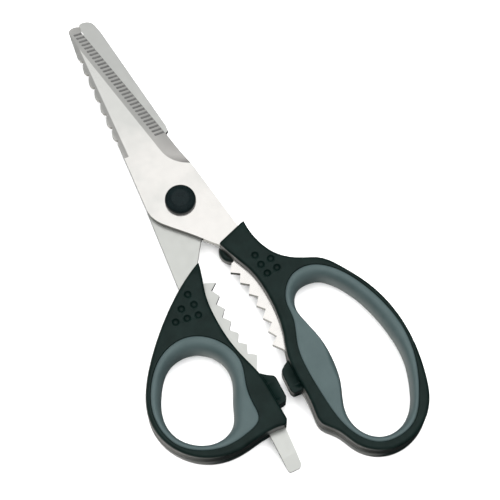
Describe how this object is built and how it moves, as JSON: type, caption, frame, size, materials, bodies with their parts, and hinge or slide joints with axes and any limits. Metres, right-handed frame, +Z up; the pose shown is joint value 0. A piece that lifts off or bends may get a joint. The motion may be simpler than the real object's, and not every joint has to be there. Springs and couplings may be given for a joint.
{
  "type": "kitchen shears",
  "caption": "Multi-purpose kitchen shears with a micro-serrated blade, fish-scaler spine, nutcracker jaws between the tangs, soft-lined loop handles and a flat driver tip.",
  "frame": {"origin": "on the pivot axis, at the plane the shears lie on", "axes": "+Y towards the blade tips, +Z up out of the resting plane along the pivot axis, +X towards the finger handle"},
  "size_m": [0.1033, 0.2175, 0.013],
  "materials": {
    "front_blade_steel": "fine polished flats with ground hollow bevels",
    "rear_blade_steel": "satin ground",
    "handle_plastic": "moulded satin, greenish black",
    "grip_rubber": "soft-touch slate grey",
    "cap_plastic": "glossy black",
    "fastener_steel": "turned",
    "washer_plastic": "natural acetal"
  },
  "bodies": {
    "thumb_half": {"rear_blade": "rear_blade_steel", "thumb_front_shell": "handle_plastic", "thumb_rear_shell": "handle_plastic", "thumb_liner": "grip_rubber", "thumb_handle_pins": "fastener_steel", "pivot_bolt": "fastener_steel", "pivot_nut": "fastener_steel", "wave_washer": "fastener_steel", "bearing_washer": "washer_plastic", "pivot_cap": "cap_plastic"},
    "finger_half": {"front_blade": "front_blade_steel", "finger_front_shell": "handle_plastic", "finger_rear_shell": "handle_plastic", "finger_liner": "grip_rubber", "finger_handle_pins": "fastener_steel"}
  },
  "joints": [
    {"name": "blade_pivot", "type": "hinge", "parent": "thumb_half", "child": "finger_half", "pos_m": [0, 0, 0.0065], "axis": [0, 0, 1], "range_deg": [-1.3, 110]}
  ]
}
